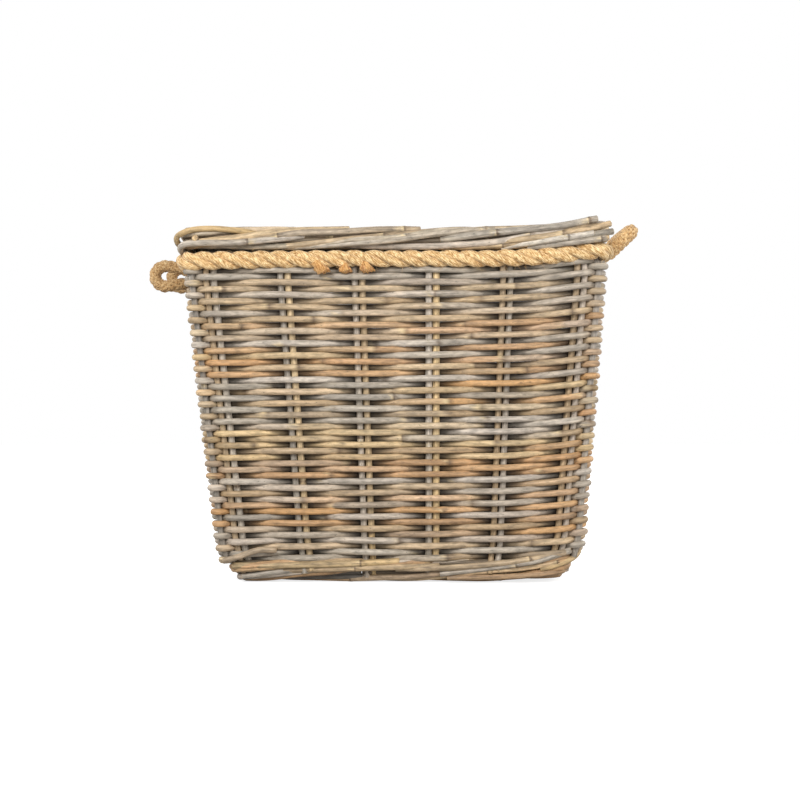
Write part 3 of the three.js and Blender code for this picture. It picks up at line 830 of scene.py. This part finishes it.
# Hoops: the rim roll, the foot roll and the rope follow a rounded rectangle
class Hoop:
    """A rounded rectangle, read by the distance round it from the front left corner"""

    def __init__(self, half, corner, over=LENGTH_OVER_DEPTH):
        self.corner = corner
        self.pieces = []
        travelled = 0
        for wall in WALLS:
            run = (half if wall["along"].x else half - over) - corner
            offset = half - over if wall["along"].x else half
            self.pieces.append((travelled, travelled + 2 * run, wall, run, offset))
            travelled += 2 * run + math.pi / 2 * corner
        self.length = travelled

    def at(self, distance):
        """The place in plan and the way out at a distance, which runs on past a full turn"""
        distance %= self.length
        start, end, wall, run, offset = max(p for p in self.pieces if p[0] <= distance)
        if distance <= end:
            return on_wall(wall, distance - start - run, offset), wall["out"]
        angle = (distance - end) / self.corner
        out = wall["out"] * math.cos(angle) + wall["along"] * math.sin(angle)
        return on_wall(wall, run, offset - self.corner) + out * self.corner, out


def rolled_points(roll, hoop, start, length, turn, first_angle, lean, rng):
    """One rod of a rolled border. It comes up across the outside and goes down inside."""
    sway = rng.uniform(0, 900)
    points = []
    count = round(length / 9)
    for i in range(count + 1):
        along = length * i / count
        wobble = waver(along * 0.012, sway, 0)
        angle = first_angle + TURN * along / turn + 0.45 * wobble
        plan, out = hoop.at(start + along)
        height = -roll["half_height"] * math.cos(angle)
        half_depth = (roll["half_depth"] + 1.2 * wobble) * (1 - CLEAR_OF_HANDLES * out.x ** 2)
        reach = half_depth * math.sin(angle) + lean * height
        points.append(Vector((*(plan + out * reach), roll["z"] + height)))
    return points


def add_roll(roll, hoop, lean, rods, length, turn, radius, families, name, nodes):
    """A border rolled from the bent-over ends of the stakes, each covered by the next"""
    rng = random.Random(name)
    pieces = [new_rods() for _ in nodes]
    for rod in range(rods):
        start = hoop.length * (rod + rng.uniform(-0.3, 0.3)) / rods
        here = length * rng.uniform(0.8, 1.15)
        first_angle = rng.uniform(-1.3, -0.7)
        pitch = turn * rng.uniform(0.85, 1.2)
        points = rolled_points(roll, hoop, start, here, pitch, first_angle, lean, rng)
        cane = Cane(rng, families, (130, 330), radius * rng.uniform(0.9, 1.08))
        draw_cane(pieces[rod % len(pieces)], cane, points)
    for number, (bm, node) in enumerate(zip(pieces, nodes)):
        finish_piece(bm, f"{name}_{number + 1}", BORDER_RATTAN, "basket", [node])


def add_borders():
    rim = Hoop(RIM[1] + RIM_ROLL["out"], RIM_ROLL["corner"])
    add_roll(RIM_ROLL, rim, 0, rods=24, length=540, turn=600, radius=4.3,
             families=[GREYS, TANS, TANS, STRAWS, BLEACHED], name="rim_border",
             nodes=[f"rim_cane_{i + 1}" for i in range(6)])
    foot = Hoop(FOOT[1] + FOOT_ROLL["out"], FOOT_ROLL["corner"], FOOT_ROLL["over"])
    add_roll(FOOT_ROLL, foot, FOOT_LEAN, rods=17, length=480, turn=560, radius=4.2,
             families=[TANS, TANS, BROWNS, GREYS, BROWNS], name="foot_border",
             nodes=[f"foot_cane_{i + 1}" for i in range(4)])


# Rods that stand out of the borders: colours, thickness and points
RIM_ENDS = [
    (STRAWS, 3.8, [(-176, -196, 468), (-212, -203, 472.5), (-243, -205, 474.5),
                   (-267, -205, 473), (-283, -201, 468.5), (-291, -191, 463),
                   (-289, -176, 455), (-284, -150, 449)]),
    (TANS, 4.6, [(-262, -150, 456), (-263, -180, 459), (-264.3, -208.5, 462)]),
    (GREYS, 3.9, [(-120, -197, 466), (-165, -204, 460), (-208, -206, 456), (-258, -205.5, 455.4),
                  (-280, -201, 454), (-286, -190, 449), (-283, -176, 444)]),
    (GREYS, 4.3, [(60, -196, 461), (100, -204, 465.5), (145, -205.5, 470.6), (218, -206, 478),
                  (268, -205, 487.8)]),
    (TANS, 4.2, [(120, -196, 456), (160, -204, 460), (205, -206, 465.3), (257, -207, 474.5),
                 (286, -200, 482)]),
    (GREYS, 4.3, [(205, -196, 458), (262, -206, 467), (289, -204, 471)]),
    (CHALKY, 4.2, [(140, -196, 451), (215, -207, 461), (263, -207.5, 468.6)]),
    (GREYS, 4.1, [(175, -196, 450), (240, -206, 457), (283, -205, 463)]),
]
FOOT_ENDS = [
    (TANS, 4.0, [(-232.6, -163, 30.5), (-208, -167, 38), (-184, -168, 46), (-160, -164, 45.5)]),
    (STRAWS, 4.5, [(-221, -156, 24), (-140, -161, 25), (-60, -162, 27), (6, -158, 30)]),
    (TANS, 4.2, [(-152, -156, 17), (-70, -160, 20), (6, -161, 22.5), (60, -156, 24)]),
    (GREYS, 4.0, [(-208, -150, 8), (-157, -156, 15.6), (-110, -156, 19)]),
    (TANS, 4.2, [(0, -157, 20), (60, -161, 21), (115, -163, 25), (180, -164, 33), (234, -157, 43)]),
    (GREYS, 4.2, [(60, -156, 13), (140, -161, 23), (190, -163, 31), (238, -158, 45)]),
    (STRAWS, 3.9, [(196, -158, 19), (222, -158, 26), (243, -150, 35), (251, -136, 44),
                   (247, -124, 52), (241, -110, 55)]),
    (BROWNS, 4.0, [(70, -154, 7), (150, -157, 9), (200, -158, 13), (229, -150, 17)]),
]


def add_border_ends():
    """The ends of rods that the borders don't hide, each given one by one"""
    for name, ends in (("rim_ends", RIM_ENDS), ("foot_ends", FOOT_ENDS)):
        rng = random.Random(name)
        bm = new_rods()
        for family, radius, points in ends:
            line = smooth_line([Vector(point) for point in points])
            draw_cane(bm, Cane(rng, [family], (60, 190), radius), line, step=5, sides=14)
        finish_piece(bm, name, BORDER_RATTAN, "basket", lift=False)


def add_inner_wale():
    """Hidden courses of cane that leave no light between the weave, the borders and the floor"""
    # Height, distance out from the stake line, thickness and how light it is: painted shade,
    # darkest for the cores of the rolls. First come the courses inside the stake tops, behind the
    # rope.
    courses = [(z, -STAKE_RADIUS - CANE_RADIUS, 4.1, 0.8)
               for z in (421.5, 429.5, 437.5, 445.5, 453.5)]
    courses += [(458, -3, 4.1, 0.8), (453, 3, 4, 0.6)]  # over the bends of the stakes
    courses += [(21, -24, 4, 0.7), (29, -18.5, 4, 0.7)]  # round the edge of the floor
    courses += [(RIM_ROLL["z"] + side * 3.4, RIM_ROLL["out"], 4, 0.35) for side in (-1, 1)]
    courses += [(z, FOOT_ROLL["out"] + FOOT_LEAN * (z - FOOT_ROLL["z"]), 4, 0.3)
                for z in (8, 14.5, 21, 27.5)]
    bm = new_rods()
    rng = random.Random("wale")
    for z, out, radius, light in courses:
        low = z < FOOT[0]
        line = FOOT[1] if low else half_length(min(z, RIM[0]))
        hoop = Hoop(line + out, 14, FOOT_ROLL["over"] if low else LENGTH_OVER_DEPTH)
        cane = Cane(rng, [GREYS, TANS], (150, 420), radius)
        start = rng.uniform(0, hoop.length)
        sections = []
        for stop in cane.stops(0, hoop.length - 1, LONG_STEP):
            height = z + 0.6 * waver(stop * 0.011, z, 0)
            # Painted shade: each hidden course is darkened by its share of light
            colour = [channel * light for channel in cane.colour(stop)]
            sections.append((Vector((*hoop.at(start + stop)[0], height)), cane.thickness(stop),
                             colour, stop))
        draw_rod(bm, sections, sides=8, cane=cane)
    finish_piece(bm, "inner_wale", WEAVER_RATTAN, "basket")


# Rope and twine
def add_rim_rope():
    """Three strands laid together, six yarns to be seen in each, and loose hairs. Each strand
    closes on itself: the laid hoop is as long as a whole number of turns. It lies slack, thick
    and low at its left-hand end."""
    low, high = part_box("rim_rope")
    hoop = Hoop((high.x - low.x) / 2 / MM - ROPE_RADIUS, ROPE_CORNER)
    strand_radius = ROPE_RADIUS / (1 + STRANDS_OUT)
    middle_radius = strand_radius * STRANDS_OUT
    turns = round(hoop.length / ROPE_LAY)
    count = round(hoop.length / 3.5)
    bm = new_rods()
    for strand in range(3):
        sections = []
        for i in range(count + 1):
            distance = ROPE_SEAM + hoop.length * i / count
            sway = 0.35 * waver(distance * 0.016, strand * 7, 9) * math.sin(math.pi * i / count)
            angle = TURN * (strand / 3 - turns * distance / hoop.length) + sway
            plan, out = hoop.at(distance)
            slack = (max(-plan.x, 0) / RIM[1]) ** 2
            thick = ROPE_TIGHT + ROPE_SWELL * slack
            height = middle_radius * thick * math.sin(angle)
            reach = middle_radius * math.cos(angle)
            place = Vector((*(plan + out * reach), ROPE_Z + 0.5 - ROPE_DROOP * slack + height))
            swell = 1 + 0.07 * waver(distance * 0.03, strand * 7, 0)
            shade = 1 + 0.13 * waver(distance * 0.02, strand * 5, 4)
            radius = strand_radius * swell * 1.07  # the strands press into each other
            sections.append((place, (radius, radius * thick), [shade] * 3, distance))
        draw_rod(bm, sections, sides=26, twist=YARN_TWIST, yarns=6)
    finish_piece(bm, "rope_hoop", MANILA, "basket", ["rim_rope"])
    add_rope_hairs(hoop)


def add_rope_hairs(hoop):
    """Broken fibres that stand a little off the rope"""
    rng = random.Random("hairs")
    bm = new_rods()
    for _ in range(ROPE_HAIRS):
        distance = rng.uniform(0, hoop.length)
        plan, out = hoop.at(distance)
        if abs(plan.y) < HANDLE_REACH_Y + 14:
            continue  # worn away where the handles swing
        ahead = Vector((-out.y, out.x, 0))
        angle = rng.uniform(-math.pi * 0.75, math.pi * 0.75)
        off = Vector((*(out * math.cos(angle)), math.sin(angle)))
        root = Vector((*plan, ROPE_Z)) + off * (ROPE_RADIUS - 0.6)
        way = (ahead * rng.uniform(-1, 1) + off * 0.2 - UP * rng.uniform(0, 0.5)).normalized()
        length = rng.uniform(4, 9)
        bright = [rng.uniform(0.8, 1.3)] * 3
        sections = [(root + way * length * t - UP * 2 * t * t, 0.26 * (1.1 - t), bright, 9 * t)
                    for t in (0, 0.33, 0.66, 1)]
        draw_rod(bm, sections, sides=3)
    finish_piece(bm, "rope_hairs", MANILA, "basket")


def add_rope_tails():
    """Where the rope's ends meet, its three strands were cut and left to fray"""
    rng = random.Random("tails")
    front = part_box("rim_rope")[0].y / MM
    bm = new_rods()
    for width, tail in ROPE_TAILS:
        line = smooth_line([Vector((x, front + depth, z)) for x, depth, z in tail])
        count = len(line) - 1
        sections = [(place, (4.4, width * (0.55 + 0.4 * i / count)), CUT_FIBRE, 2 * i)
                    for i, place in enumerate(line)]
        draw_rod(bm, sections, sides=20, twist=YARN_TWIST, yarns=9)
        end = line[-1]
        for _ in range(TAIL_FIBRES):
            angle, share = rng.uniform(0, TURN), math.sqrt(rng.random())
            side = Vector((math.cos(angle), math.sin(angle) * 0.5, 0)) * share * width
            start = end + side * 0.7 + UP * rng.uniform(4, 8) + Vector((-3, 0, 0))
            tip = end + side * rng.uniform(0.9, 1.3) - UP * rng.uniform(-2.5, 3.5) * (1.2 - share)
            middle = start.lerp(tip, 0.5) + side * 0.2
            shade = rng.uniform(0.7, 1.15)
            orange = [shade, shade * rng.uniform(0.76, 0.86), shade * rng.uniform(0.5, 0.72)]
            sections = [(start, 0.7, orange, 0), (middle, 0.7, orange, 4), (tip, 0.4, orange, 8)]
            draw_rod(bm, sections, sides=4)
    finish_piece(bm, "rope_tails", MANILA, "basket", lift=False)


def add_lashings():
    """Turns of twine round the rope, hauled tight, at each root of the handles"""
    parts_of_turn = 22
    for end, out in (("left", -1), ("right", 1)):
        for where, side in (("front", -1), ("back", 1)):
            node = f"lashing_{end}_{where}"
            low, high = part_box(node)
            centre = (low + high) / 2 / MM
            width = (high.y - low.y) / MM
            rng = random.Random(node)
            count = (int(width / (2 * TWINE_RADIUS)) - 1) * parts_of_turn
            sections = []
            for i in range(count + 1):
                angle = TURN * i / parts_of_turn
                ring = ROPE_RADIUS + 0.35 + 0.25 * waver(i * 0.21, out, side)
                y = centre.y - width / 2 + TWINE_RADIUS + (width - 2 * TWINE_RADIUS) * i / count
                place = Vector((centre.x + ring * math.cos(angle), y,
                                centre.z + ring * math.sin(angle)))
                sections.append((place, TWINE_RADIUS * rng.uniform(0.93, 1.07), [1, 1, 1], i * 3.6))
            bm = new_rods()
            draw_rod(bm, sections, sides=7, twist=1.4)
            finish_piece(bm, f"twine_{end}_{where}", TWINE, "basket", [node], lift=False)


def handle_line(shape):
    """A handle's middle line seen from the front, read by the distance along it"""
    heading = math.radians(shape["heading"])
    turn = math.copysign(1, shape["sweep"])
    arc = shape["bend"] * math.radians(abs(shape["sweep"]))

    def way(angle):
        return Vector((math.cos(angle), math.sin(angle)))

    start = Vector((shape["out"], shape["up"]))
    bend_at = start + way(heading) * shape["straight"]
    hub = bend_at + way(heading + turn * math.pi / 2) * shape["bend"]

    def at(distance):
        if distance < shape["straight"]:
            return start + way(heading) * distance
        past = min(distance - shape["straight"], arc)
        angle = heading + turn * past / shape["bend"]
        point = hub + way(angle - turn * math.pi / 2) * shape["bend"]
        return point + way(angle) * max(distance - shape["straight"] - arc, 0)

    return at, shape["straight"] + arc + shape["tail"]


def handle_route(shape, out):
    """The loop of a handle: out along one leg, across the grip and back along the other. The
    legs start a little inside their lashings."""
    at, length = handle_line(shape)
    straight = length - HANDLE_CORNER
    parts, corner_parts = 24, 8
    half = [(straight * i / parts, HANDLE_REACH_Y) for i in range(-2, parts + 1)]
    for i in range(1, corner_parts + 1):
        angle = math.pi / 2 * i / corner_parts
        half.append((straight + HANDLE_CORNER * math.sin(angle),
                     HANDLE_REACH_Y - HANDLE_CORNER * (1 - math.cos(angle))))
    flat = half + [(along, -y) for along, y in reversed(half)]
    points = []
    for along, y in flat:
        point = at(along)
        lift = shape["skew"] * (1 + y / HANDLE_REACH_Y) / 2 * min(max(along / 30, 0), 1)
        points.append(Vector((out * point.x, y, point.y + lift)))
    return points


def add_handles():
    """A rope core covered with plaited twine: half the ends wind each way, over and under"""
    for joint, name, shape, out in zip(frame["joints"], ("left", "right"),
                                       (LEFT_HANDLE, RIGHT_HANDLE), (-1, 1)):
        pivot = Vector(joint["pos_m"]) / MM
        core = Route([pivot + point for point in handle_route(shape, out)])
        count = round(core.length / HANDLE_STEP)
        places = [core.at(core.length * i / count) for i in range(count + 1)]
        axes = carried_axes(places, Vector((0, 1, 0)))
        radius = HANDLE_RADIUS - shape["thin"]
        bm = new_rods()
        # Painted shade: a dark core, so that the gaps of the plait read dark
        core_sections = [(place, radius - 2.8, CORE_TINT, i * HANDLE_STEP)
                         for i, place in enumerate(places)]
        draw_rod(bm, core_sections, sides=12)
        for end in range(HANDLE_ENDS):
            way = 1 if end % 2 else -1
            sections = []
            for i, (place, (across, upright)) in enumerate(zip(places, axes)):
                distance = core.length * i / count
                wound = TURN * distance / HANDLE_LAY
                angle = way * wound + TURN * (end // 2) / (HANDLE_ENDS / 2)
                over = way * math.sin(wound * HANDLE_ENDS / 2 + way * 1.2)
                root = max(0, 1 - min(distance, core.length - distance) / ROOT_LENGTH)
                ring = radius - 3 - ROOT_THINS * root + 0.7 * over
                # Painted shade: the handle's twine is darkened as a whole, the left-hand one most
                shade = shape["painted_shade"] * (1 + 0.2 * waver(distance * 0.05, end * 3, out))
                point = place + (across * math.cos(angle) + upright * math.sin(angle)) * ring
                tint = [shade, shade * 0.96, shade * 0.88]
                sections.append((point, PLAIT_RADIUS, tint, distance))
            draw_rod(bm, sections, sides=8, twist=0.5)
        finish_piece(bm, f"plaited_handle_{name}", TWINE, f"{name}_handle",
                     [f"handle_{name}"], lift=False)


# The floor inside
def add_floor_hoop(rng):
    """The bent cane that carries the bars"""
    low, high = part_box("floor_frame")
    hoop = Hoop((high.x - low.x) / 2 / MM - 5, 16)
    cane = Cane(rng, [GREYS], (200, 400), 4.9)
    count = round(hoop.length / 10)
    sections = []
    for i in range(count + 1):
        distance = hoop.length * i / count
        place = Vector((*hoop.at(distance)[0], low.z / MM + 5))
        sections.append((place, 4.8, cane.colour(distance), distance))
    bm = new_rods()
    draw_rod(bm, sections)
    finish_piece(bm, "floor_hoop", STAKE_RATTAN, "basket", ["floor_frame"])


def add_floor_bars(rng):
    for node in sorted(name for name in frame["nodes"] if name.startswith("floor_bar")):
        low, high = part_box(node)
        centre = (low + high) / 2 / MM
        ends = [Vector((centre.x, y / MM, centre.z)) for y in (low.y, high.y)]
        bm = new_rods()
        draw_cane(bm, Cane(rng, [TANS, GREYS], (200, 400), 3.4), ends, step=LONG_STEP, marked=False)
        finish_piece(bm, node.replace("floor", "floor_cross"), STAKE_RATTAN,
                     "basket", [node], lift=False)


def add_floor_weave(rng):
    """A mat of thin cane, each row over and under where the last went under and over"""
    low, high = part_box("floor_mat")
    reach_x, reach_y = high.x / MM - 1.5, high.y / MM
    middle_z = low.z / MM + 2.4
    radius = 2.1
    waves, parts = 13, 6
    rows = int(2 * reach_y / (2 * radius + 0.35))
    bm = new_rods()
    for row in range(rows):
        cane = Cane(rng, [GREYS, TANS, STRAWS], (150, 380), radius)
        y = -reach_y + radius + (2 * reach_y - 2 * radius) * row / (rows - 1)
        points = []
        for i in range(waves * parts + 1):
            x = -reach_x + 2 * reach_x * i / (waves * parts)
            wave = math.cos(math.pi * i / parts) * (1 if row % 2 else -1)
            points.append(Vector((x, y, middle_z + 0.9 * wave)))
        draw_cane(bm, cane, points, step=7, sides=8, marked=False)
    finish_piece(bm, "floor_weave", WEAVER_RATTAN, "basket", ["floor_mat"])


add_camera()
add_lamps()
add_room()
add_studio_floor()
add_weave()
add_stakes()
add_posts()
add_borders()
add_inner_wale()
add_border_ends()
add_rim_rope()
add_rope_tails()
add_lashings()
add_handles()
floor_rng = random.Random("floor")
add_floor_hoop(floor_rng)
add_floor_bars(floor_rng)
add_floor_weave(floor_rng)
